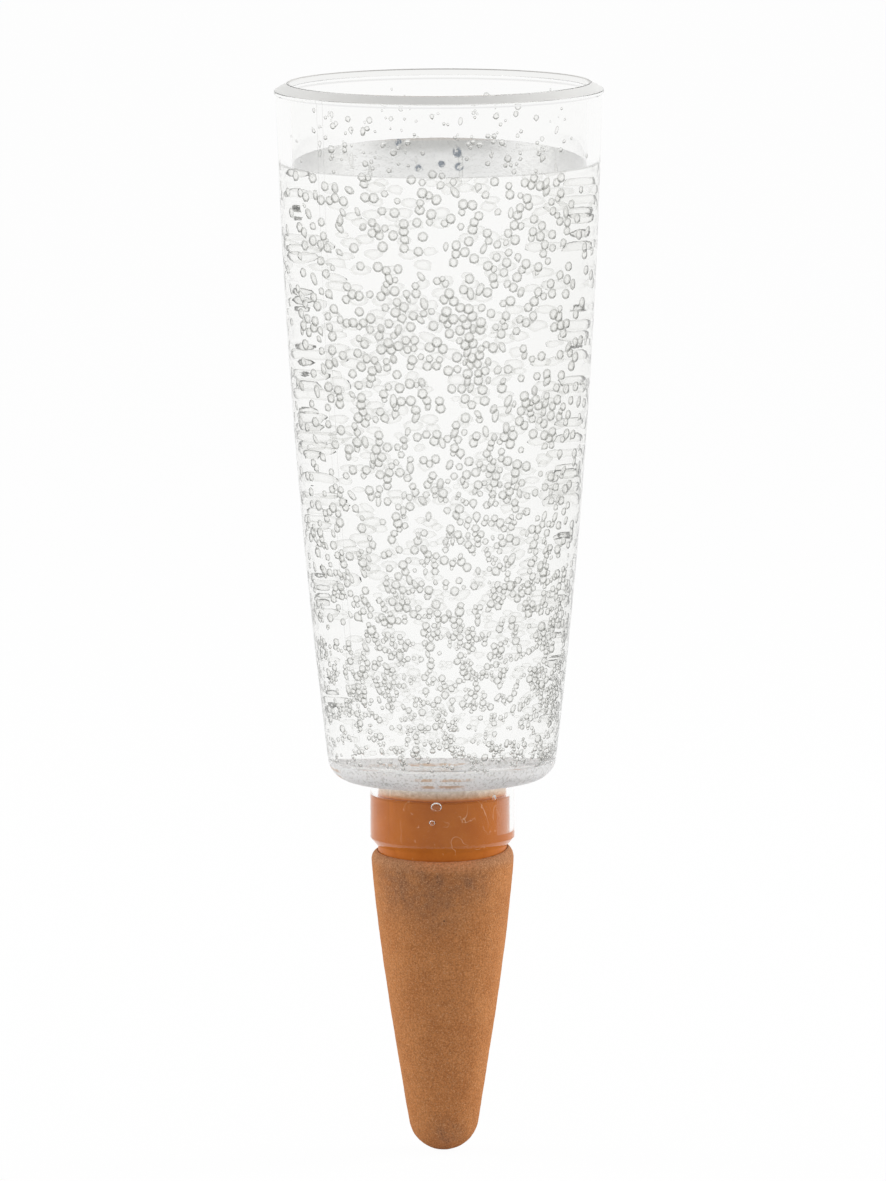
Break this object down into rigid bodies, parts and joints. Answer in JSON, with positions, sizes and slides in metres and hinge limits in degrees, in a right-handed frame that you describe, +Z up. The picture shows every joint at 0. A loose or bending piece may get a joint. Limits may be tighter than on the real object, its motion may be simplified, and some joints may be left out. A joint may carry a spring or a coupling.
{
  "type": "self watering spike",
  "caption": "Plant waterer: a clear tapered cup with air bubbles in its wall, pushed by its neck sleeve onto a plastic plug that is bonded into a hollow, porous clay cone.",
  "frame": {"origin": "on the axis at the flat top of the clay cone, which is level with the soil in use", "axes": "+Z up along the axis, from the clay tip to the open rim; the object is turned, so X and Y are free"},
  "size_m": [0.078, 0.078, 0.2558],
  "materials": {
    "clear_plastic": "polished, with air bubbles in the wall and a frosted underside",
    "seal_silicone": "translucent, satin",
    "plug_plastic": "satin",
    "bond": "matte",
    "clay": "unglazed, matte"
  },
  "bodies": {
    "spike": {"clay_cone": "clay", "bond_ring": "bond", "plug": "plug_plastic"},
    "seal": {"sealing_ring": "seal_silicone"},
    "reservoir": {"reservoir_cup": "clear_plastic"}
  },
  "joints": [
    {"name": "reservoir_twist", "type": "hinge", "parent": "spike", "child": "seal", "pos_m": [0, 0, 0.0143], "axis": [0, 0, 1], "continuous": true},
    {"name": "reservoir_lift", "type": "slide", "parent": "seal", "child": "reservoir", "axis": [0, 0, 1], "range_m": [0, 0.04]}
  ]
}
